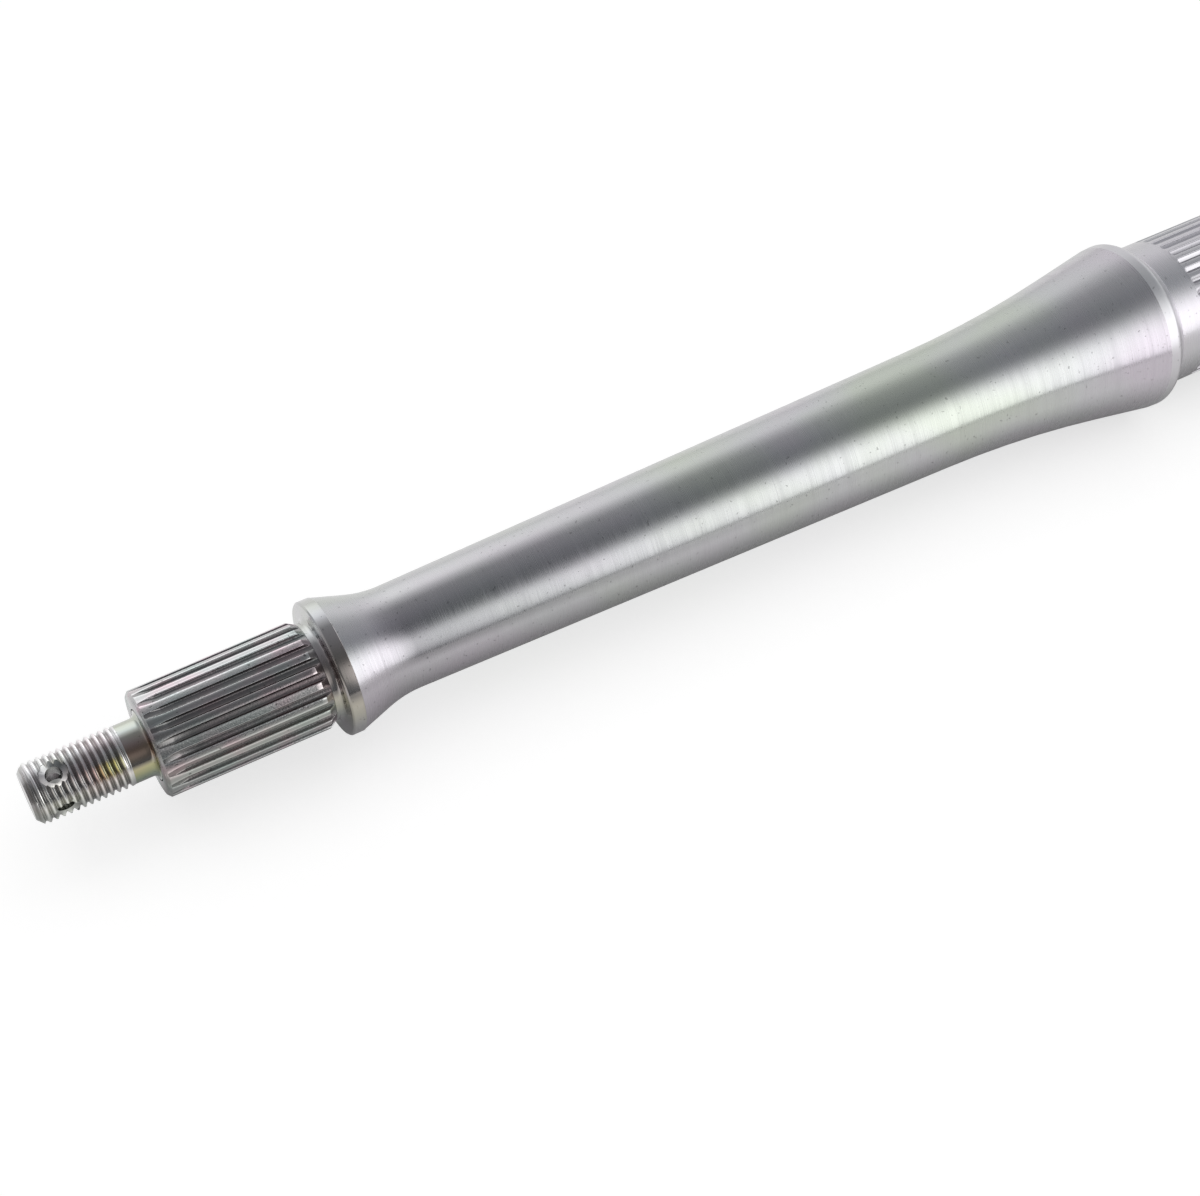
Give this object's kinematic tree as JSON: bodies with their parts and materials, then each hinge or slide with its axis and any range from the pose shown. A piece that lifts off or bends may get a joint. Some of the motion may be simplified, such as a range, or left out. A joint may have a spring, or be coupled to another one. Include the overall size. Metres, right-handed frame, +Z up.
{
  "type": "axle shaft",
  "caption": "Rear axle shaft for a light vehicle: tapered round body with a flared rim, a drive spline, bearing seats, and splined hub ends with threaded, cross-drilled tips.",
  "frame": {"origin": "centre of the left bearing seat, on the shaft's axis", "axes": "+X along the shaft from the pictured hub end to the far one, +Z up"},
  "size_m": [0.9082, 0.056, 0.0558],
  "materials": {
    "plated_steel": "turned steel with a thin clear zinc plating, faintly iridescent"
  },
  "bodies": {
    "root": {"axle_shaft": "plated_steel"}
  },
  "joints": []
}
